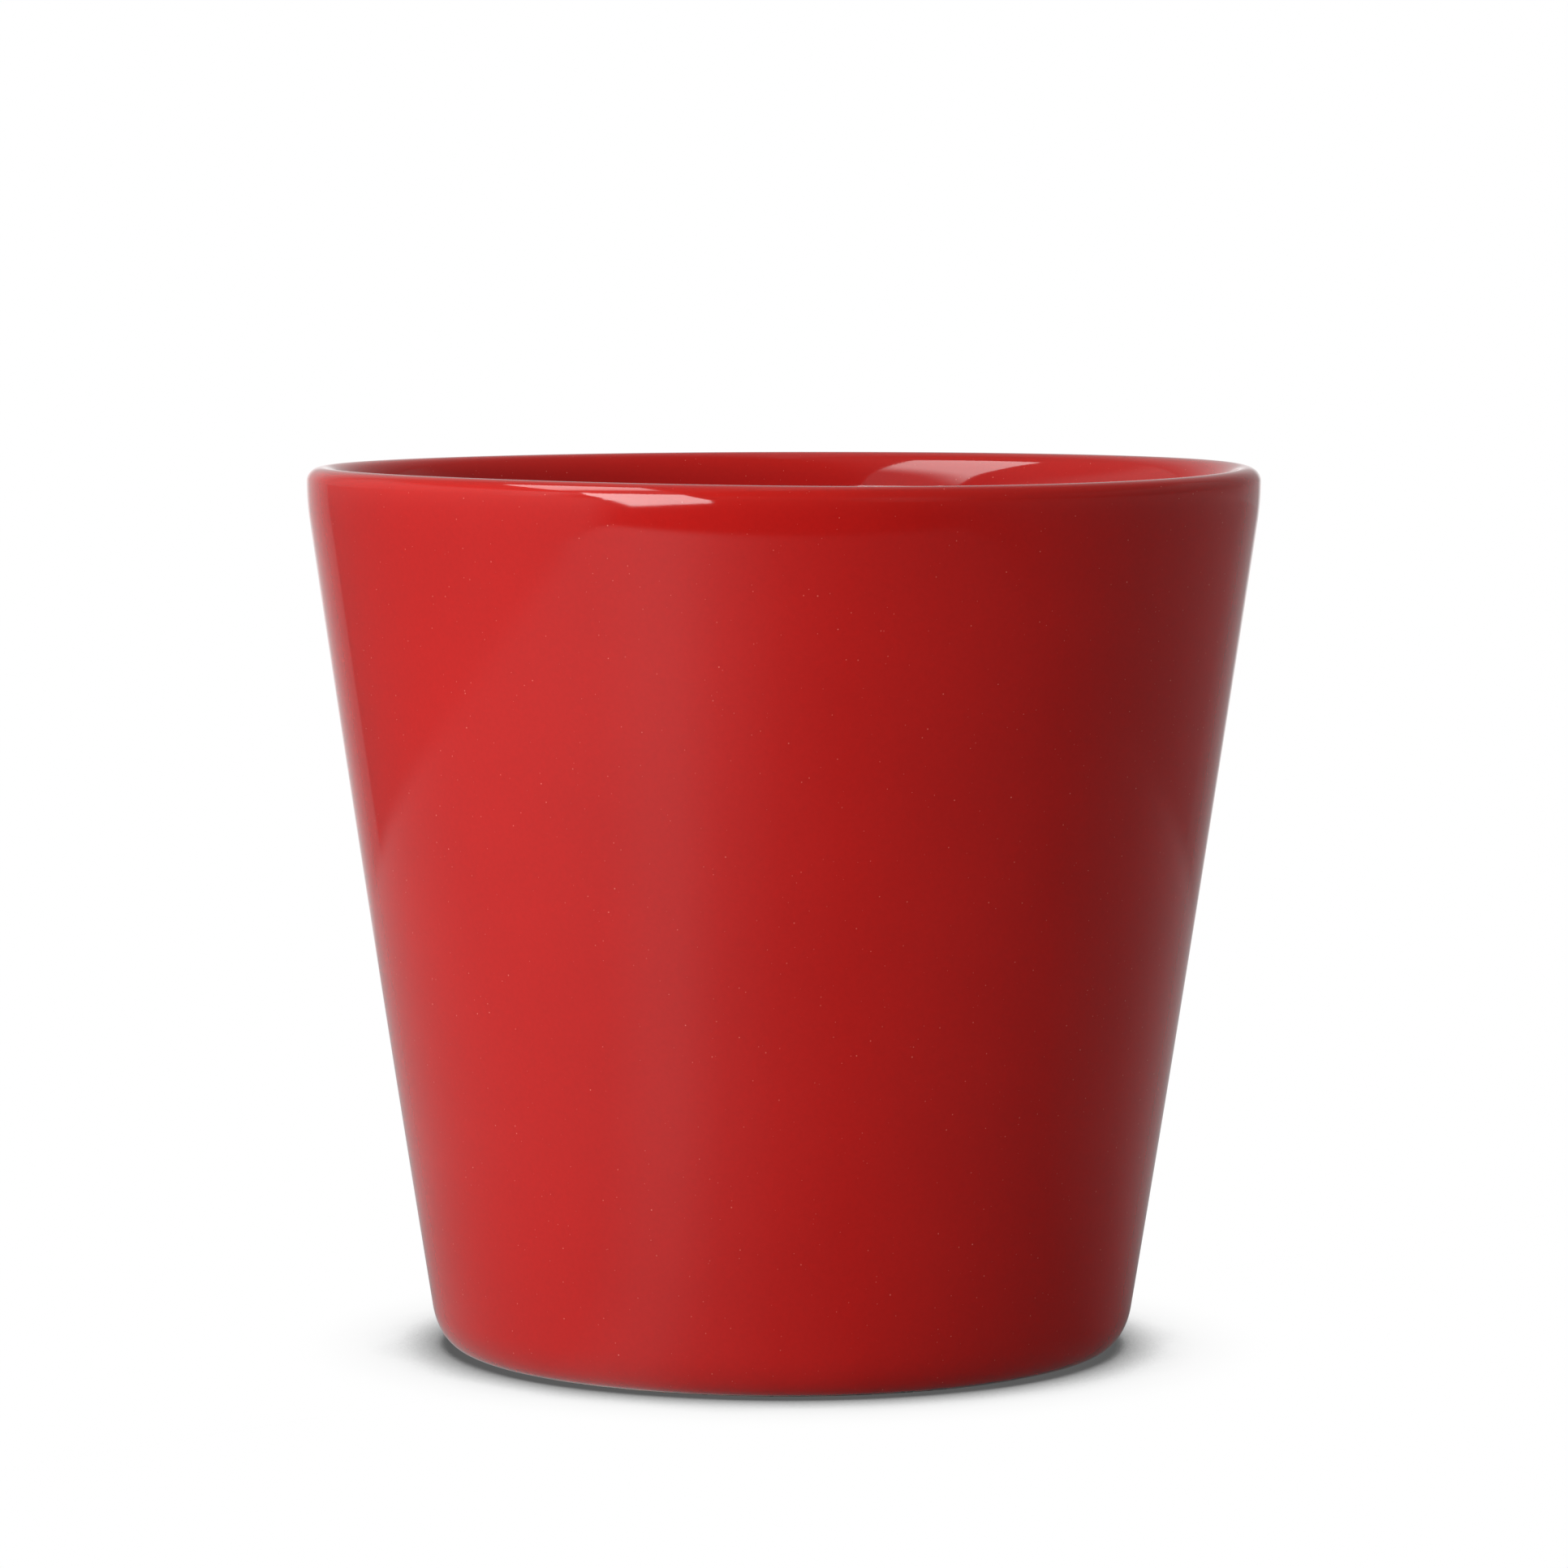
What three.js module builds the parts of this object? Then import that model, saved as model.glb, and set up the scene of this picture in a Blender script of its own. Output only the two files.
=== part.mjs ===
// A handleless stoneware mug: one fired clay shell under a coat of glossy glaze.
// The origin is the middle of the face that the foot ring stands on, with +Z up, in millimetres.

import * as THREE from "three";

// Driving sizes of the glazed mug
const mouthDiameter = 97;
const height = 90;
const footDiameter = 65.4;
const wallBelly = 0.15;
const flareRadius = 28;
const cornerWidth = 3.3;
const cornerHeight = 5.5;

// The lip, from the crest outwards and inwards
const lipOuterWidth = 1.6;
const lipOuterDrop = 1.4;
const lipInnerWidth = 4.3;
const lipInnerDrop = 13;

// The inside
const wallAtInsideCorner = 4.8;
const insideCornerRadius = 8;
const floorThickness = 4.8;

// The underside: a bare foot ring round a shallow glazed recess
const footRingWidth = 3.4;
const recessDepth = 1.3;
const recessSlopeWidth = 1.5;
const bareRingRise = 0.1;

// The coat of glaze
const glazeThickness = 0.45;

// Fineness of the facets
const aroundSteps = 72;
const roundSteps = 5;
const lipSteps = 4;
const flareSteps = 3;
const wallSteps = 4;

// Colours and finishes
const redGlaze = { color: 0xa71411, roughness: 0.12, metalness: 0 };
const buffStoneware = { color: 0xcdb79a, roughness: 0.85, metalness: 0 };

// Where the lean of a wall meets a round: the angle on an ellipse whose tangent has that lean
function tangentAngle(width, rise, lean) {
  return Math.atan((rise / width) * Math.tan(lean));
}

// The lean from the vertical at which a straight wall runs smoothly into the rounds at its ends
function leanBetween(lowerRound, upperRound, lowEnd, highEnd) {
  let lean = 0;
  for (let pass = 0; pass < 20; pass += 1) {
    const low = lowerRound(lean).getPoint(lowEnd);
    const high = upperRound(lean).getPoint(highEnd);
    lean = Math.atan2(high.x - low.x, high.y - low.y);
  }
  return lean;
}

// The outside, as radius and height, from the glaze's edge at the foot up to the crest
const mouthRadius = mouthDiameter / 2;
const footRadius = footDiameter / 2;
const widestHeight = height - lipOuterDrop;
const crestRadius = mouthRadius - lipOuterWidth;
const quarterTurn = Math.PI / 2;

function footCorner(lean) {
  const centreHeight = bareRingRise + cornerHeight;
  const end = -tangentAngle(cornerWidth, cornerHeight, lean);
  return new THREE.EllipseCurve(
    footRadius, centreHeight, cornerWidth, cornerHeight, -quarterTurn, end,
  );
}

function flare(lean) {
  const centreRadius = mouthRadius - flareRadius;
  return new THREE.EllipseCurve(centreRadius, widestHeight, flareRadius, flareRadius, -lean, 0);
}

const outerLean = leanBetween(footCorner, flare, 1, 0);
const wallFoot = footCorner(outerLean).getPoint(1);
const wallTop = flare(outerLean).getPoint(0);

function outerRadiusAt(level) {
  return wallFoot.x + (level - wallFoot.y) * Math.tan(outerLean);
}

// The wall swells out a little between its two rounds
function bellyPoints() {
  const points = [];
  for (let i = 1; i < wallSteps; i += 1) {
    const share = i / wallSteps;
    const point = wallFoot.clone().lerp(wallTop, share);
    point.x += 4 * wallBelly * share * (1 - share);
    points.push(point);
  }
  return points;
}

const outerLip = new THREE.EllipseCurve(
  crestRadius, widestHeight, lipOuterWidth, lipOuterDrop, 0, quarterTurn,
);

// The inside, from the crest down to the middle of the floor
const floorHeight = recessDepth + floorThickness;
const insideCornerHeight = floorHeight + insideCornerRadius;
const insideWallRadius = outerRadiusAt(insideCornerHeight) - wallAtInsideCorner;
const insideCornerCentre = insideWallRadius - insideCornerRadius;

function innerLip(lean) {
  const centreHeight = height - lipInnerDrop;
  const end = Math.PI - tangentAngle(lipInnerWidth, lipInnerDrop, lean);
  return new THREE.EllipseCurve(
    crestRadius, centreHeight, lipInnerWidth, lipInnerDrop, quarterTurn, end,
  );
}

function insideCorner(lean) {
  return new THREE.EllipseCurve(
    insideCornerCentre, insideCornerHeight, insideCornerRadius, insideCornerRadius,
    -lean, -quarterTurn, true,
  );
}

const innerLean = leanBetween(insideCorner, innerLip, 0, 1);

// The glazed faces as one line, with the clay on its left all the way
const lipAndOutside = [
  ...footCorner(outerLean).getPoints(roundSteps),
  ...bellyPoints(),
  ...flare(outerLean).getPoints(flareSteps),
  ...outerLip.getPoints(lipSteps).slice(1),
  ...innerLip(innerLean).getPoints(lipSteps).slice(1),
];
const inside = [
  ...insideCorner(innerLean).getPoints(roundSteps),
  new THREE.Vector2(0, floorHeight),
];
const underside = [
  new THREE.Vector2(0, recessDepth),
  new THREE.Vector2(footRadius - footRingWidth - recessSlopeWidth, recessDepth),
  new THREE.Vector2(footRadius - footRingWidth, bareRingRise),
];

// A line moved to its left by a depth, each stretch parallel to where it was
function sunk(line, depth) {
  return line.map((point, i) => {
    const before = line[Math.max(i - 1, 0)];
    const after = line[Math.min(i + 1, line.length - 1)];
    const comingIn = (i > 0 ? point.clone().sub(before) : after.clone().sub(point)).normalize();
    const goingOut = (point === after ? comingIn.clone() : after.clone().sub(point)).normalize();
    const mitre = comingIn.clone().add(goingOut);
    const scale = depth / (1 + comingIn.dot(goingOut));
    return new THREE.Vector2(point.x - mitre.y * scale, point.y + mitre.x * scale);
  });
}

// The clay's own faces lie under the glaze by its thickness
const clayAbove = sunk([...lipAndOutside, ...inside], glazeThickness);
const clayLipAndOutside = clayAbove.slice(0, lipAndOutside.length);
const clayInside = clayAbove.slice(lipAndOutside.length);
const clayUnderside = sunk(underside, glazeThickness);

// Glaze stops at both edges of the foot ring, whose own edges are eased by the same small rise
const ringOuterEdge = lipAndOutside[0];
const ringInnerEdge = underside[underside.length - 1];
const bareRing = [
  ringInnerEdge,
  new THREE.Vector2(ringInnerEdge.x + bareRingRise, 0),
  new THREE.Vector2(ringOuterEdge.x - bareRingRise, 0),
  ringOuterEdge,
];

// Each outline runs anticlockwise, with the solid on its left
const seam = lipAndOutside[lipAndOutside.length - 1];
const claySeam = clayLipAndOutside[clayLipAndOutside.length - 1];

const clayOutline = [...clayUnderside, ...bareRing, ...clayAbove];
const outerGlazeOutline = [
  ...lipAndOutside,
  ...clayLipAndOutside.toReversed(),
  ringOuterEdge,
];
const linerGlazeOutline = [...clayInside.toReversed(), claySeam, seam, ...inside];
const baseGlazeOutline = [...underside, ...clayUnderside.toReversed()];

// A solid turned round the mug's upright axis
function turned(name, outline, finish) {
  const geometry = new THREE.LatheGeometry(outline, aroundSteps);
  geometry.rotateX(quarterTurn);
  const mesh = new THREE.Mesh(geometry, new THREE.MeshStandardMaterial(finish));
  mesh.name = name;
  return mesh;
}

const mug = new THREE.Group();
mug.name = "stoneware_mug";
mug.add(turned("clay_body", clayOutline, buffStoneware));
mug.add(turned("outer_glaze", outerGlazeOutline, redGlaze));
mug.add(turned("liner_glaze", linerGlazeOutline, redGlaze));
mug.add(turned("base_glaze", baseGlazeOutline, redGlaze));

export default mug;
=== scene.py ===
import math

import bmesh
import bpy
from mathutils import Matrix, Vector


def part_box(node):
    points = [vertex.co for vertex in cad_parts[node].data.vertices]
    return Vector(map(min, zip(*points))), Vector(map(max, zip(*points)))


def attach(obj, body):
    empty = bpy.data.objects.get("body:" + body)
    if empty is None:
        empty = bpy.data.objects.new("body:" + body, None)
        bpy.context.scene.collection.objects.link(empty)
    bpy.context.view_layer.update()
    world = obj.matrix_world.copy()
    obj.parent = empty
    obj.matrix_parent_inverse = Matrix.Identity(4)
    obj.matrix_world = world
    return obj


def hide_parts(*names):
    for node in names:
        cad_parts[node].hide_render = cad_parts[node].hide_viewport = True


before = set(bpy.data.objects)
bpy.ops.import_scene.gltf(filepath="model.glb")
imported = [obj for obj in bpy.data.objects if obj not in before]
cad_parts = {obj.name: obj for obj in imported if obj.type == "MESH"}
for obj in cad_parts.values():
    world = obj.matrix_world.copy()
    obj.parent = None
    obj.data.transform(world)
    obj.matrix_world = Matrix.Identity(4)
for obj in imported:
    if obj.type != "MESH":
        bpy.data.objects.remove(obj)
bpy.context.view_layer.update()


# The clay body
# The mug is one shell of buff stoneware, turned in one go: wall, rounded lip, floor and foot ring.
# Glaze covers all of it but the foot ring, which was wiped bare so that the mug could stand in the
# kiln. The firing left the rim very slightly out of flat.

mm = 0.001

# The glazed outside: radius and height of the lip's widest ring and of the foot corner
mouth_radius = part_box("outer_glaze")[1].x / mm
mug_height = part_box("outer_glaze")[1].z / mm
foot_radius = 32.7
ring_rise = 0.1
corner_width, corner_height = 3.3, 5.5
wall_belly = 0.15
flare_radius = 28.0
lip_outer_width, lip_outer_drop = 1.6, 1.4

# The inside
lip_inner_width, lip_inner_drop = 4.3, 13.0
lip_round_width, lip_round_drop = 3.97, 9.0
lip_cone_height, lip_cone_lean = 0.9, math.radians(24.7)
wall_at_inside_corner = 4.8
inside_corner_radius = 8.0
floor_height = 6.1

# The underside
foot_ring_width = 3.4
recess_depth = 1.3
recess_slope_width = 1.5

glaze_thickness = 0.45

# How finely the outline and the turned pieces are divided, and the sharpest angle that stays smooth
turning_steps = 240
foot_corner_rings, wall_rings, flare_rings, lip_rings = 28, 24, 18, 24
lip_round_rings, lip_curve_rings, inside_corner_rings = 18, 12, 24
floor_rings, recess_rings = 10, 8
true_corner = math.radians(25)


def arc(centre, width, rise, start, end, steps):
    """Points (radius, height) along an ellipse, from the angle start to the angle end."""
    points = []
    for step in range(steps + 1):
        angle = start + (end - start) * step / steps
        points.append(Vector((centre[0] + width * math.cos(angle), centre[1] + rise * math.sin(angle))))
    return points


def tangent_angle(width, rise, lean):
    """Where an ellipse runs into a wall of that lean from the upright."""
    return math.atan(rise / width * math.tan(lean))


def lean_between(lower_round, upper_round):
    """The lean of a straight wall that runs smoothly into the rounds at both its ends."""
    lean = 0.0
    # The rounds move a little with the lean, so it is closed in on
    for _ in range(20):
        low, high = lower_round(lean)[-1], upper_round(lean)[0]
        lean = math.atan2(high.x - low.x, high.y - low.y)
    return lean


def foot_corner(lean):
    """From the foot ring out and up to the wall."""
    centre = (foot_radius, ring_rise + corner_height)
    end = -tangent_angle(corner_width, corner_height, lean)
    return arc(centre, corner_width, corner_height, -math.pi / 2, end, foot_corner_rings)


def flare(lean):
    """The wall's last stretch below the lip, where it turns upright."""
    centre = (mouth_radius - flare_radius, mug_height - lip_outer_drop)
    return arc(centre, flare_radius, flare_radius, -lean, 0.0, flare_rings)


outer_lean = lean_between(foot_corner, flare)
wall_foot, wall_top = foot_corner(outer_lean)[-1], flare(outer_lean)[0]
wall = []
for step in range(1, wall_rings):
    share = step / wall_rings
    point = wall_foot.lerp(wall_top, share)
    point.x += 4 * wall_belly * share * (1 - share)
    wall.append(point)

crest_radius = mouth_radius - lip_outer_width
inside_corner_height = floor_height + inside_corner_radius
outside_there = wall_foot.x + (inside_corner_height - wall_foot.y) * math.tan(outer_lean)
inside_corner_centre = outside_there - wall_at_inside_corner - inside_corner_radius


def inner_lip(lean):
    """From the wall's inside up to the crest: an easy curve, a short cone and the rounded edge."""
    start = math.pi - tangent_angle(lip_inner_width, lip_inner_drop, lean)
    wall_end = Vector((
        crest_radius + lip_inner_width * math.cos(start),
        mug_height - lip_inner_drop * (1 - math.sin(start)),
    ))
    cone_end = math.pi - tangent_angle(lip_round_width, lip_round_drop, lip_cone_lean)
    centre = (crest_radius, mug_height - lip_round_drop)
    rounded = arc(centre, lip_round_width, lip_round_drop, cone_end, math.pi / 2, lip_round_rings)
    cone = Vector((math.tan(lip_cone_lean), 1.0))
    cone_foot = rounded[0] - cone * lip_cone_height
    # The curve leaves the wall along the wall's lean and reaches the cone along the cone's
    slope = math.tan(lean)
    rise = (cone_foot.x - wall_end.x - slope * (cone_foot.y - wall_end.y)) / (cone.x - slope)
    bend = cone_foot - cone * rise
    curve = []
    for step in range(lip_curve_rings + 1):
        share = step / lip_curve_rings
        curve.append(wall_end.lerp(bend, share).lerp(bend.lerp(cone_foot, share), share))
    return curve + rounded


def inside_corner(lean):
    """From the floor out and up to the wall."""
    centre = (inside_corner_centre, inside_corner_height)
    radius = inside_corner_radius
    return arc(centre, radius, radius, -math.pi / 2, -lean, inside_corner_rings)


inner_lean = lean_between(inside_corner, inner_lip)
lip_centre = (crest_radius, mug_height - lip_outer_drop)
outer_lip = arc(lip_centre, lip_outer_width, lip_outer_drop, 0.0, math.pi / 2, lip_rings)
lip_and_outside = foot_corner(outer_lean) + wall + flare(outer_lean) + outer_lip[1:]
lip_and_outside += inner_lip(inner_lean)[::-1][1:]
seam = lip_and_outside[-1]
inner_wall_foot = inside_corner(inner_lean)[-1]
inside = [seam.lerp(inner_wall_foot, step / wall_rings) for step in range(1, wall_rings)]
inside += inside_corner(inner_lean)[::-1]
for step in range(1, floor_rings + 1):
    inside.append(Vector((inside_corner_centre * (1 - step / floor_rings), floor_height)))

recess_edge = foot_radius - foot_ring_width - recess_slope_width
underside = []
for step in range(recess_rings + 1):
    underside.append(Vector((recess_edge * step / recess_rings, recess_depth)))
underside.append(Vector((foot_radius - foot_ring_width, ring_rise)))


def sunk(line, depth):
    """The line moved to its left, which is into the clay, each stretch parallel to where it was."""
    moved = []
    for i, point in enumerate(line):
        coming = point - line[i - 1] if i > 0 else line[1] - point
        going = line[i + 1] - point if i + 1 < len(line) else coming
        coming, going = coming.normalized(), going.normalized()
        mitre = (coming + going) * depth / (1 + coming.dot(going))
        moved.append(Vector((point.x - mitre.y, point.y + mitre.x)))
    return moved


clay_above = sunk(lip_and_outside + inside, glaze_thickness)
clay_outside = clay_above[: len(lip_and_outside)]
clay_inside = clay_above[len(lip_and_outside) :]
clay_underside = sunk(underside, glaze_thickness)
ring_inner_edge, ring_outer_edge = underside[-1], lip_and_outside[0]
bare_ring = [
    ring_inner_edge,
    Vector((ring_inner_edge.x + ring_rise, 0.0)),
    Vector((ring_outer_edge.x - ring_rise, 0.0)),
    ring_outer_edge,
]


# The rim's tilt, saddle and three-lobed wave, in millimetres, and the height that stayed true
rim_tilt, rim_saddle, rim_wave = 0.084, 0.176, 0.053
saddle_turn, wave_turn = -0.974, 0.286
true_below = 0.35


def warped(place):
    """Where the firing moved a point of the mug: the rim rises and dips by up to a quarter millimetre."""
    angle = math.atan2(place.y, place.x)
    saddle = rim_saddle * math.cos(2 * angle + saddle_turn)
    tilt = rim_tilt * math.cos(angle)
    wave = rim_wave * math.cos(3 * angle + wave_turn)
    share = max(0.0, place.z / mm / mug_height - true_below) / (1 - true_below)
    return Vector((place.x, place.y, place.z + (saddle + tilt + wave) * mm * share * share))


def object_from(bm, name):
    """The finished mesh as an object in the scene."""
    mesh = bpy.data.meshes.new(name)
    bm.to_mesh(mesh)
    bm.free()
    made = bpy.data.objects.new(name, mesh)
    bpy.context.collection.objects.link(made)
    return made


def turned(name, outline, closed=True):
    """A solid turned from an outline of radius and height, smooth but for its true corners."""
    bm = bmesh.new()
    points = [bm.verts.new((point.x * mm, 0.0, point.y * mm)) for point in outline]
    lines = [bm.edges.new(pair) for pair in zip(points, points[1:])]
    if closed:
        lines.append(bm.edges.new((points[-1], points[0])))
    bmesh.ops.spin(
        bm, geom=points + lines, cent=(0, 0, 0), axis=(0, 0, 1),
        angle=2 * math.pi, steps=turning_steps, use_merge=True,
    )
    bmesh.ops.remove_doubles(bm, verts=bm.verts, dist=1e-7)
    bmesh.ops.recalc_face_normals(bm, faces=bm.faces)
    for vert in bm.verts:
        vert.co = warped(vert.co)
    for face in bm.faces:
        face.smooth = True
    for edge in bm.edges:
        edge.smooth = edge.calc_face_angle(0.0) < true_corner
    return object_from(bm, name)


def node(tree, kind, sockets=None, **settings):
    """A shader node with its settings, and with its sockets given as values or as what feeds them."""
    made = tree.nodes.new(kind)
    for setting, value in settings.items():
        setattr(made, setting, value)
    for socket, value in (sockets or {}).items():
        if isinstance(value, bpy.types.NodeSocket):
            tree.links.new(value, made.inputs[socket])
        else:
            made.inputs[socket].default_value = value
    return made


def ramp(tree, factor, stops):
    """A colour ramp from stops of place and colour."""
    made = node(tree, "ShaderNodeValToRGB", {"Fac": factor})
    band = made.color_ramp
    band.elements[0].position, band.elements[0].color = stops[0]
    band.elements[1].position, band.elements[1].color = stops[-1]
    for place, colour in stops[1:-1]:
        band.elements.new(place).color = colour
    return made.outputs["Color"]


def reckon(tree, operation, *values):
    """A number worked out from one, two or three others."""
    return node(tree, "ShaderNodeMath", dict(enumerate(values)), operation=operation).outputs[0]


def between(tree, share, first, second):
    """One colour that gives way to another as the share goes from 0 to 1."""
    return node(tree, "ShaderNodeMix", {"Factor": share, 6: first, 7: second}, data_type="RGBA").outputs[2]


def change(tree, value, start, end, low, high, kind="SMOOTHSTEP"):
    """A number that goes from low to high while the value goes from start to end."""
    return node(
        tree, "ShaderNodeMapRange",
        {"Value": value, "From Min": start, "From Max": end, "To Min": low, "To Max": high},
        interpolation_type=kind,
    ).outputs["Result"]


# Buff clay with grog: a dry, sandy face with brown and pale grains, toasted darker beside the glaze
bare_stoneware = bpy.data.materials.new("bare stoneware")
bare_stoneware.use_nodes = True
tree = bare_stoneware.node_tree
shader = tree.nodes["Principled BSDF"]
shader.inputs["Roughness"].default_value = 0.85
shader.inputs["IOR"].default_value = 1.5
place = node(tree, "ShaderNodeTexCoord").outputs["Object"]
cloud = node(tree, "ShaderNodeTexNoise", {"Vector": place, "Scale": 180.0, "Detail": 4.0})
clay = ramp(tree, cloud.outputs["Fac"], [
    (0.30, (0.52, 0.39, 0.26, 1)),
    (0.50, (0.61, 0.47, 0.33, 1)),
    (0.72, (0.68, 0.55, 0.41, 1)),
])
grains = node(tree, "ShaderNodeTexVoronoi", {"Vector": place, "Scale": 1500.0})
grain_tone = node(tree, "ShaderNodeSeparateColor", {"Color": grains.outputs["Color"]})
brown_grain = reckon(tree, "GREATER_THAN", grain_tone.outputs["Red"], 0.9)
grogged = between(tree, brown_grain, clay, (0.26, 0.15, 0.08, 1))
height = node(tree, "ShaderNodeSeparateXYZ", {"Vector": place}).outputs["Z"]
toast = change(tree, height, 0.00002, 0.00016, 0.0, 0.75, "LINEAR")
toasted = between(tree, toast, grogged, (0.30, 0.13, 0.05, 1))
tree.links.new(toasted, shader.inputs["Base Color"])
sand = node(tree, "ShaderNodeTexNoise", {"Vector": place, "Scale": 2600.0, "Detail": 3.0})
tooth = node(
    tree, "ShaderNodeBump", {"Strength": 0.6, "Distance": 0.00012, "Height": sand.outputs["Fac"]},
)
tree.links.new(tooth.outputs["Normal"], shader.inputs["Normal"])

clay_body = turned("mug_clay_body", clay_underside + bare_ring + clay_above)
clay_body.data.materials.append(bare_stoneware)
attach(clay_body, "root")
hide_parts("clay_body")


# The outer glaze
# A coat of opaque glossy red glaze, just under half a millimetre, over the outside and round the lip.
# It was sprayed or dipped on and melted in the kiln, so its face has the faint waves of set glass,
# with a few pale pinprick specks.

def times(tree, *parts):
    """The product of several greys or numbers."""
    total = parts[0]
    for part in parts[1:]:
        total = node(
            tree, "ShaderNodeMix", {"Factor": 1.0, 6: total, 7: part},
            data_type="RGBA", blend_type="MULTIPLY",
        ).outputs[2]
    return total


red_glaze = bpy.data.materials.new("red glaze")
red_glaze.use_nodes = True
tree = red_glaze.node_tree
shader = tree.nodes["Principled BSDF"]
shader.inputs["IOR"].default_value = 1.52
place = node(tree, "ShaderNodeTexCoord").outputs["Object"]

# Slow clouds of depth in the red, and a fine grain of pigment over them
cloud = node(tree, "ShaderNodeTexNoise", {"Vector": place, "Scale": 55.0, "Detail": 2.0})
clouded = ramp(tree, cloud.outputs["Fac"], [
    (0.25, (0.385, 0.0064, 0.0048, 1)),
    (0.75, (0.415, 0.0073, 0.0055, 1)),
])
pigment = node(tree, "ShaderNodeTexNoise", {"Vector": place, "Scale": 2400.0, "Detail": 2.0})
pigment_depth = change(tree, pigment.outputs["Fac"], 0.2, 0.8, 0.95, 1.05, "LINEAR")
grained = times(tree, clouded, pigment_depth)

# Lighter, warmer red over the lip's crest: partly a thinner coat, partly painted light from above
height = node(tree, "ShaderNodeSeparateXYZ", {"Vector": place}).outputs["Z"]
crest_thin_and_lit = change(tree, height, 0.0868, 0.0901, 0.0, 0.45)
crest_thinned_and_lit = between(tree, crest_thin_and_lit, grained, (0.49, 0.015, 0.009, 1))

# Pinprick specks, no two alike in size or paleness
specks = node(tree, "ShaderNodeTexVoronoi", {"Vector": place, "Scale": 1500.0})
speck_tone = node(tree, "ShaderNodeSeparateColor", {"Color": specks.outputs["Color"]})
speck_size = reckon(tree, "MULTIPLY", speck_tone.outputs["Green"], 0.135)
speck_face = change(tree, specks.outputs["Distance"], 0.0, speck_size, 1.0, 0.0, "LINEAR")
speck = reckon(tree, "MULTIPLY", speck_face, speck_tone.outputs["Red"])
speckled = between(tree, speck, crest_thinned_and_lit, (0.80, 0.28, 0.22, 1))
tree.links.new(speckled, shader.inputs["Base Color"])

# A melted face: almost a mirror, a little duller in places, with shallow waves and a finer ripple
gloss = node(tree, "ShaderNodeTexNoise", {"Vector": place, "Scale": 120.0, "Detail": 2.0})
roughness = change(tree, gloss.outputs["Fac"], 0.3, 0.7, 0.045, 0.065, "LINEAR")
tree.links.new(roughness, shader.inputs["Roughness"])
waves = node(tree, "ShaderNodeTexNoise", {"Vector": place, "Scale": 90.0, "Detail": 1.0})
long_waves = node(
    tree, "ShaderNodeBump", {"Strength": 1.0, "Distance": 0.000012, "Height": waves.outputs["Fac"]},
)
ripple = node(tree, "ShaderNodeTexNoise", {"Vector": place, "Scale": 620.0, "Detail": 1.0})
melted = node(
    tree, "ShaderNodeBump",
    {
        "Strength": 1.0, "Distance": 0.0000012,
        "Height": ripple.outputs["Fac"], "Normal": long_waves.outputs["Normal"],
    },
)
tree.links.new(melted.outputs["Normal"], shader.inputs["Normal"])

outer_glaze = turned("mug_outer_glaze", lip_and_outside + clay_outside[::-1])
outer_glaze.data.materials.append(red_glaze)
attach(outer_glaze, "root")
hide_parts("outer_glaze")


# The liner glaze
# The same red glaze, poured in and out again before the outside was done. It covers the inner wall
# and the floor, and runs into the outer coat just inside the lip.

liner_outline = clay_inside[::-1] + [clay_outside[-1], seam] + inside
liner_glaze = turned("mug_liner_glaze", liner_outline, closed=False)
liner_glaze.data.materials.append(red_glaze)
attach(liner_glaze, "root")
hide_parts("liner_glaze")


# The base glaze
# The same glaze in the shallow recess that the foot ring goes round, left in it when the ring was
# wiped clean with a sponge.

base_glaze = turned("mug_base_glaze", underside + clay_underside[::-1], closed=False)
base_glaze.data.materials.append(red_glaze)
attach(base_glaze, "root")
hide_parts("base_glaze")


# The table
# A white table top, 0.56 by 0.67 m, oval but for a straight front edge with two corners, on a wide floor.
# Straight or through glass all of it is white, with a soft shadow where the mug stands. What the glaze
# mirrors is painted light in the studio's tones, bright below the front softbox and dim on the far side.

def azimuth_of(tree, place):
    """How far round from the camera's side a direction lies, 0.5 in front and more to the right."""
    axes = node(tree, "ShaderNodeSeparateXYZ", {"Vector": place})
    towards = reckon(tree, "MULTIPLY", axes.outputs["Y"], -1.0)
    angle = reckon(tree, "ARCTAN2", axes.outputs["X"], towards)
    return reckon(tree, "MULTIPLY_ADD", angle, 1 / (2 * math.pi), 0.5)


def tones_round(tree, azimuth, tones):
    """Grey tones by azimuth in degrees, the left of the mug negative."""
    stops = [((degrees + 180) / 360, (tone, tone, tone, 1)) for degrees, tone in tones]
    return ramp(tree, azimuth, stops)


def behind(tree, azimuth, start, end):
    """Nothing in front of the mug and one behind it, the change between two angles from straight ahead."""
    turn = reckon(tree, "ABSOLUTE", reckon(tree, "SUBTRACT", azimuth, 0.5))
    return change(tree, turn, start / 360, end / 360, 0.0, 1.0)


def backdrop_tone(tree, azimuth):
    """The backdrop at eye level, brighter on the side of the front softbox."""
    return tones_round(tree, azimuth, [
        (-180, 0.70), (-160, 0.62), (-150, 0.46), (-139, 0.31),
        (139, 0.20), (150, 0.29), (165, 0.42), (180, 0.70),
    ])


def sum_of(tree, *parts):
    """The sum of several yes-or-no values or shares, no more than one."""
    total = parts[0]
    for part in parts[1:]:
        total = node(
            tree, "ShaderNodeMath", {0: total, 1: part}, operation="ADD", use_clamp=True,
        ).outputs[0]
    return total


white = (1, 1, 1, 1)
table_white = bpy.data.materials.new("white table")
table_white.use_nodes = True
table_white.cycles.emission_sampling = "NONE"
tree = table_white.node_tree
tree.nodes.remove(tree.nodes["Principled BSDF"])
place = node(tree, "ShaderNodeTexCoord").outputs["Object"]
azimuth = azimuth_of(tree, place)
reach = node(tree, "ShaderNodeVectorMath", {0: place}, operation="LENGTH").outputs["Value"]
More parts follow.
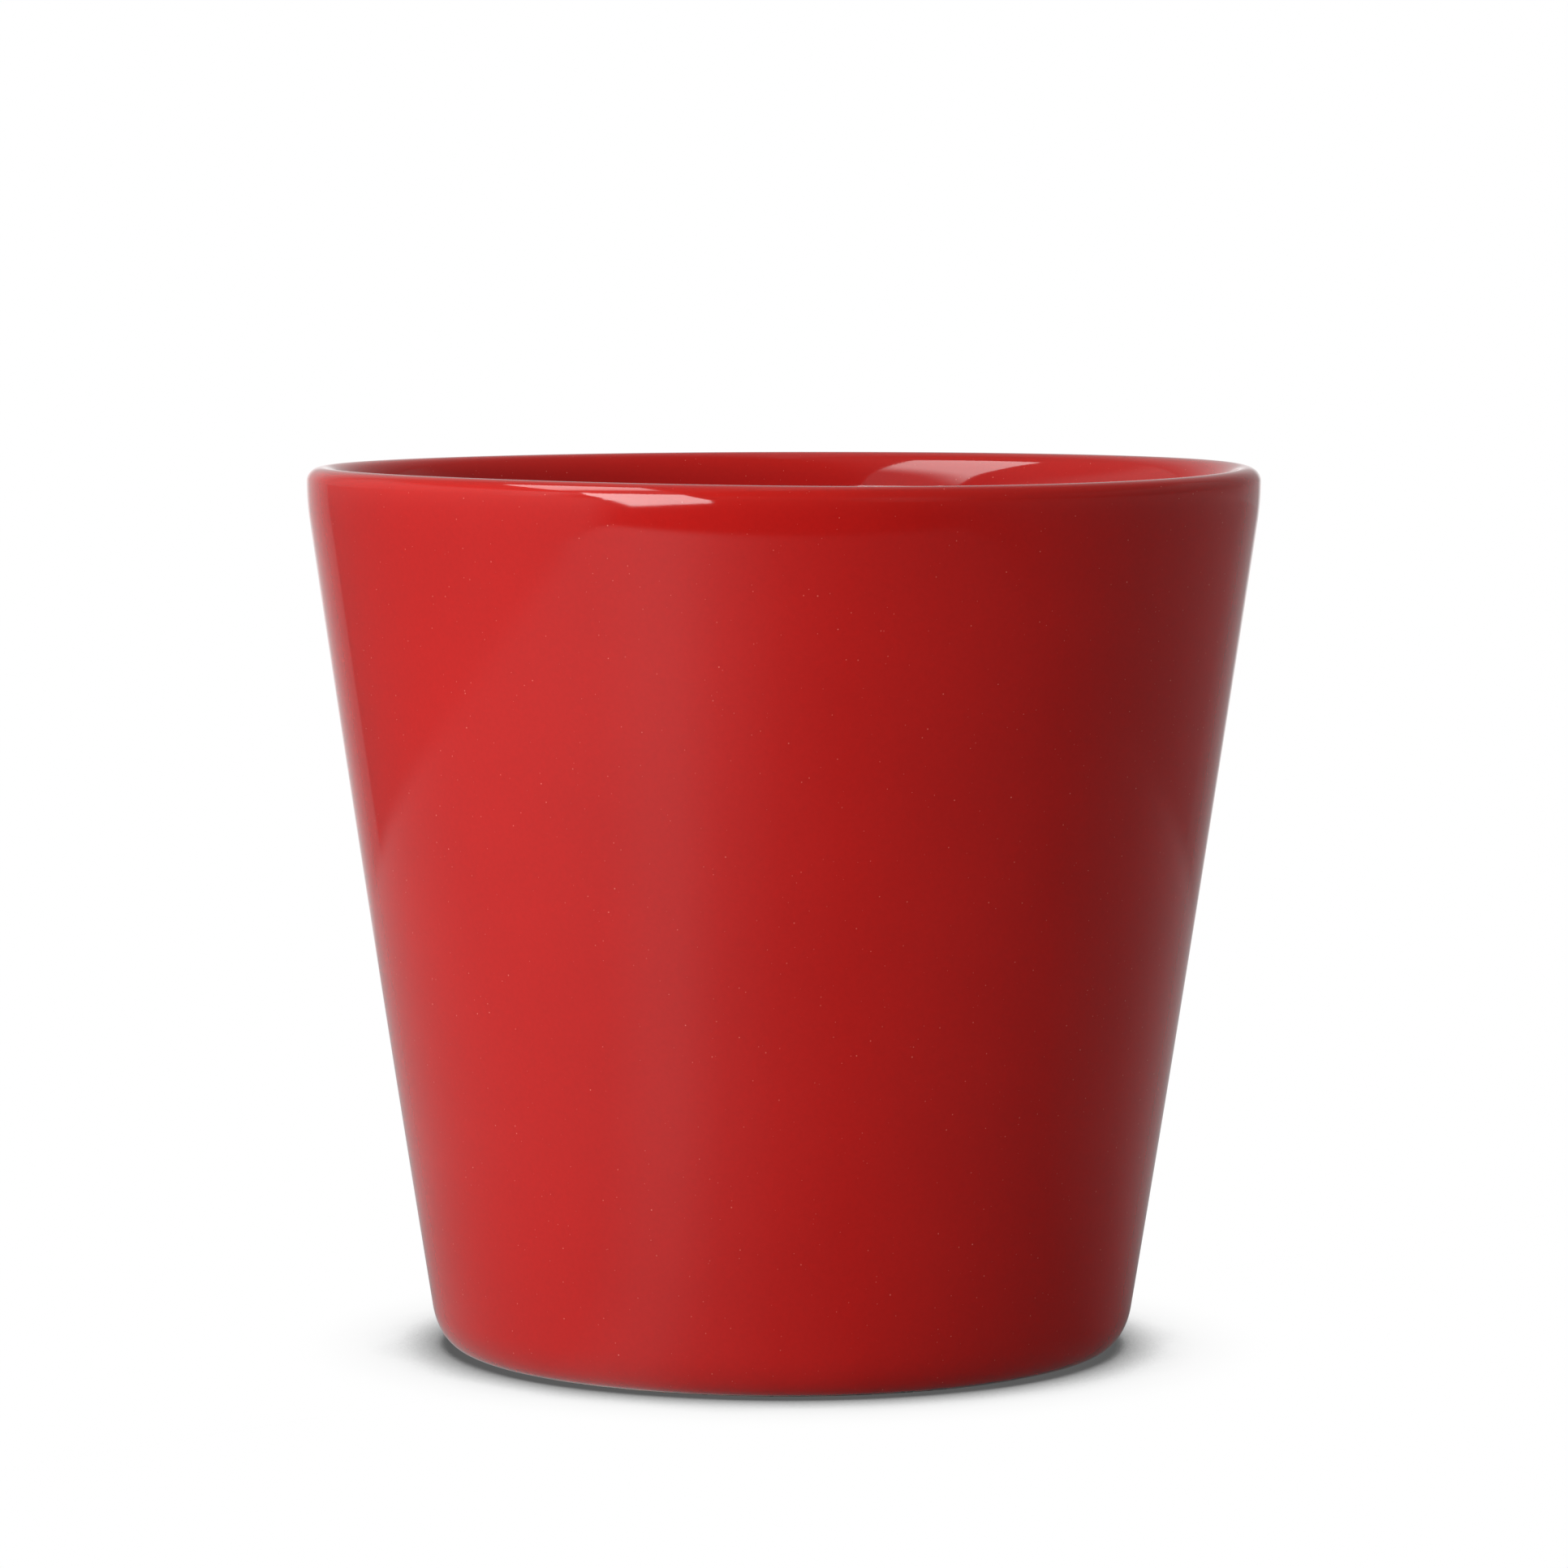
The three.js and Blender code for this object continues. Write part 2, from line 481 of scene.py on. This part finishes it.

# Painted light: the top's tones as the glaze mirrors them, with a pool of light at its front left
# and painted shade close round the mug
pool_away = node(tree, "ShaderNodeVectorMath", {0: place, 1: (-0.24, -0.26, 0.0)}, operation="DISTANCE")
light_pool = change(tree, pool_away.outputs["Value"], 0.04, 0.27, 0.34, 0.0)
top_tone = tones_round(tree, azimuth, [
    (-180, 0.50), (-134, 0.45), (-60, 0.47), (-45, 0.50), (-32, 0.68), (-25, 0.66), (-14, 0.38),
    (-1, 0.22), (14, 0.14), (70, 0.11), (100, 0.17), (148, 0.33), (180, 0.50),
])
top_tone = between(tree, light_pool, top_tone, white)
# Painted shade: the mirrored top darker within 11 cm of the mug's axis
top_tone = times(tree, top_tone, change(tree, reach, 0.05, 0.11, 0.82, 1.0))

# The floor's tones as the glaze mirrors them, painted light, as far as the backdrop's foot, which runs
# away from the mug on both sides
floor_tone = tones_round(tree, azimuth, [
    (-140, 0.22), (-125, 0.29), (-95, 0.46), (-77, 0.60), (-46, 0.66), (-38, 0.22),
    (-28, 0.13), (30, 0.06), (60, 0.16), (100, 0.22), (140, 0.25),
])
floor_tone = times(tree, floor_tone, change(tree, reach, 0.3, 1.4, 0.68, 1.0, "LINEAR"))
axes = node(tree, "ShaderNodeSeparateXYZ", {"Vector": place})
backwards = axes.outputs["Y"]
aside = reckon(tree, "ABSOLUTE", axes.outputs["X"])
foot_line = reckon(tree, "MULTIPLY_ADD", backwards, 0.616, 0.0439)
past_foot = reckon(tree, "MULTIPLY_ADD", aside, -0.788, foot_line)
backdrop_foot = change(tree, past_foot, -0.004, 0.004, 0.0, 1.0)
floor_tone = between(tree, backdrop_foot, floor_tone, backdrop_tone(tree, azimuth))

# Where the top ends: an oval, two front corners past it, and a straight front edge
from_middle = node(tree, "ShaderNodeVectorMath", {0: place, 1: (0.0, 0.02, 0.0)}, operation="ADD")
oval = node(
    tree, "ShaderNodeVectorMath", {0: from_middle.outputs["Vector"], 1: (1 / 0.28, 1 / 0.35, 0.0)},
    operation="MULTIPLY",
)
oval_reach = node(tree, "ShaderNodeVectorMath", {0: oval.outputs["Vector"]}, operation="LENGTH")
off_oval = change(tree, oval_reach.outputs["Value"], 0.94, 1.03, 0.0, 1.0)
corner_side = reckon(tree, "MULTIPLY_ADD", backwards, -0.45, 0.1413)
within_corners = reckon(tree, "SUBTRACT", corner_side, aside)
off_corners = change(tree, within_corners, -0.02, 0.02, 1.0, 0.0)
off_front = change(tree, backwards, -0.375, -0.305, 1.0, 0.0)
off_top = sum_of(tree, off_front, times(tree, off_oval, off_corners))
mirrored_tone = between(tree, off_top, top_tone, floor_tone)
mirrored_tone = between(tree, behind(tree, azimuth, 161, 170), mirrored_tone, white)

# The shadow deepens towards the foot, where the mug leaves the table less open
openness = node(tree, "ShaderNodeAmbientOcclusion", {"Distance": 0.018}, samples=16).outputs["AO"]
contact_shadow = ramp(tree, openness, [
    (0.40, (0.10, 0.10, 0.10, 1)), (0.46, (0.30, 0.30, 0.30, 1)), (0.56, (0.60, 0.60, 0.60, 1)),
    (0.62, (0.86, 0.86, 0.86, 1)), (0.70, (0.95, 0.95, 0.95, 1)), (0.90, white),
])
ray = node(tree, "ShaderNodeLightPath").outputs
straight = sum_of(tree, ray["Is Camera Ray"], ray["Is Transmission Ray"])
seen = sum_of(tree, straight, ray["Is Glossy Ray"])
seen_tone = between(tree, straight, mirrored_tone, times(tree, white, contact_shadow))
seen_face = node(tree, "ShaderNodeEmission", {"Color": seen_tone, "Strength": 1.0})
lit_face = node(tree, "ShaderNodeBsdfDiffuse", {"Color": (0.63, 0.63, 0.63, 1)})
face = node(
    tree, "ShaderNodeMixShader", {0: seen, 1: lit_face.outputs["BSDF"], 2: seen_face.outputs["Emission"]},
)

# Seen from below the table isn't there, nor is it for the light that the mug then gets from below
underneath = node(tree, "ShaderNodeNewGeometry").outputs["Backfacing"]
from_below = sum_of(tree, underneath, ray["Transparent Depth"])
clear = node(tree, "ShaderNodeBsdfTransparent").outputs["BSDF"]
one_sided = node(tree, "ShaderNodeMixShader", {0: from_below, 1: face.outputs["Shader"], 2: clear})
tree.links.new(one_sided.outputs["Shader"], tree.nodes["Material Output"].inputs["Surface"])

floor_half_width = 4.0
bm = bmesh.new()
bmesh.ops.create_grid(bm, x_segments=1, y_segments=1, size=floor_half_width)
table = object_from(bm, "studio_table")
table.data.materials.append(table_white)


# The studio light
# A tall softbox stands in front, to the left, and a long one hangs over the left side, tipped back and
# dimmer at its lower end. Two white panels add soft light that the glaze doesn't mirror. The room is
# pale on the left and dim on the right, with a grey backdrop behind.

def softbox(name, middle, across, up, corners, run, start, end):
    """
    A flat light: its middle, the directions of its sides and its corners from the middle. Its brightness
    runs across or up it, from the start to the end, each a distance from the middle and a radiance.
    """
    across, up = Vector(across).normalized(), Vector(up).normalized()
    back = across.cross(up).normalized()
    up = back.cross(across)
    along = up if run == "UP" else across
    offset = along.dot(Vector(middle))
    bm = bmesh.new()
    bm.faces.new([bm.verts.new((x, y, 0.0)) for x, y in reversed(corners)])
    turned_round = Matrix((across, up, back)).transposed().to_4x4()
    bmesh.ops.transform(bm, matrix=Matrix.Translation(middle) @ turned_round, verts=bm.verts)
    glow = bpy.data.materials.new(name)
    glow.use_nodes = True
    glow.cycles.emission_sampling = "FRONT"
    tree = glow.node_tree
    tree.nodes.remove(tree.nodes["Principled BSDF"])
    facing = node(tree, "ShaderNodeNewGeometry").outputs["Backfacing"]
    place = node(tree, "ShaderNodeTexCoord").outputs["Object"]
    reach = node(tree, "ShaderNodeVectorMath", {0: place, 1: along}, operation="DOT_PRODUCT")
    reach = reach.outputs["Value"]
    radiance = change(tree, reach, offset + start[0], offset + end[0], start[1], end[1])
    light = node(tree, "ShaderNodeEmission", {"Strength": radiance}).outputs["Emission"]
    back = node(tree, "ShaderNodeBsdfDiffuse", {"Color": (0.02, 0.02, 0.02, 1)}).outputs["BSDF"]
    face = node(tree, "ShaderNodeMixShader", {0: facing, 1: light, 2: back}).outputs["Shader"]
    tree.links.new(face, tree.nodes["Material Output"].inputs["Surface"])
    box = object_from(bm, name)
    box.data.materials.append(glow)
    box.visible_camera = False


softbox(
    "softbox_front_left", (-0.228, -0.341, 0.245), (0.913, -0.380, 0.146), (-0.102, 0.133, 0.986),
    [(-0.080, -0.162), (-0.033, -0.190), (0.103, -0.197), (0.078, 0.180), (-0.115, 0.180)],
    "ACROSS", (-0.10, 8.8), (0.10, 7.7),
)
softbox(
    "softbox_overhead", (-0.224, 0.026, 0.506), (0.969, 0.248, -0.003), (-0.181, 0.715, 0.676),
    [(-0.087, -0.34), (0.070, -0.37), (0.108, 0.001), (-0.124, 0.376)],
    "UP", (-0.246, 0.6), (-0.146, 5.0),
)


panel_side = 0.9


def white_panel(name, middle, energy):
    """Soft light that faces the mug and that the glaze doesn't mirror."""
    light = bpy.data.lights.new(name, "AREA")
    light.shape = "SQUARE"
    light.size = panel_side
    light.energy = energy
    panel = bpy.data.objects.new(name, light)
    panel.location = middle
    panel.rotation_euler = Vector(middle).to_track_quat("Z", "Y").to_euler()
    panel.visible_camera = False
    panel.visible_glossy = False
    bpy.context.collection.objects.link(panel)


white_panel("white_panel_back_right", (0.75, 0.93, 0.35), 10.0)
white_panel("white_panel_high_left", (-0.72, -0.29, 0.92), 8.0)

room = bpy.data.worlds.new("studio room")
bpy.context.scene.world = room
room.use_nodes = True
tree = room.node_tree
place = node(tree, "ShaderNodeTexCoord").outputs["Generated"]
azimuth = azimuth_of(tree, place)
elevation = node(tree, "ShaderNodeSeparateXYZ", {"Vector": place}).outputs["Z"]
walls = tones_round(tree, azimuth, [
    (-140, 0.34), (-100, 0.54), (-75, 0.70), (-60, 0.94), (-44, 0.16), (-12, 0.16),
    (10, 0.11), (28, 0.22), (50, 0.09), (95, 0.16), (140, 0.21),
])
walls = times(tree, walls, change(tree, elevation, 0.05, 0.6, 1.0, 1.3))
ceiling = tones_round(tree, azimuth, [
    (-140, 0.25), (-80, 0.32), (-35, 0.20), (-20, 0.12), (60, 0.12), (140, 0.15),
])
walls = between(tree, change(tree, elevation, 0.48, 0.62, 0.0, 1.0), walls, ceiling)
backdrop = times(tree, backdrop_tone(tree, azimuth), change(tree, elevation, 0.0, 0.7, 1.0, 0.6, "LINEAR"))
room_tone = between(tree, behind(tree, azimuth, 141, 142.5), walls, backdrop)
low_behind = times(tree, behind(tree, azimuth, 163, 171), change(tree, elevation, 0.0, 0.12, 1.0, 0.0))
room_tone = between(tree, low_behind, room_tone, white)
below_table = change(tree, elevation, -0.2, -0.02, 1.0, 0.0)
room_tone = between(tree, below_table, room_tone, (0.55, 0.55, 0.55, 1))
ray = node(tree, "ShaderNodeLightPath").outputs
straight = sum_of(tree, ray["Is Camera Ray"], ray["Is Transmission Ray"])
tree.links.new(between(tree, straight, room_tone, white), tree.nodes["Background"].inputs["Color"])
bpy.context.scene.view_settings.view_transform = "Standard"


# The camera
# A long lens, two thirds of a metre in front of the mug and a little above its rim. It is tipped down by
# 4.8 degrees and shows the whole mug, with white all round.

distance, eye_height = 0.67867, 0.11455
tipped_down, rolled = 0.083767, 0.00236

camera_data = bpy.data.cameras.new("camera")
camera_data.sensor_width = 36.0
camera_data.lens = 152.91
camera_data.shift_x = 0.00053
camera = bpy.data.objects.new("camera", camera_data)
camera.location = (0.0, -distance, eye_height)
camera.rotation_euler = (math.pi / 2 - tipped_down, 0.0, 0.0)
camera.rotation_euler.rotate_axis("Z", rolled)
bpy.context.collection.objects.link(camera)
bpy.context.scene.camera = camera
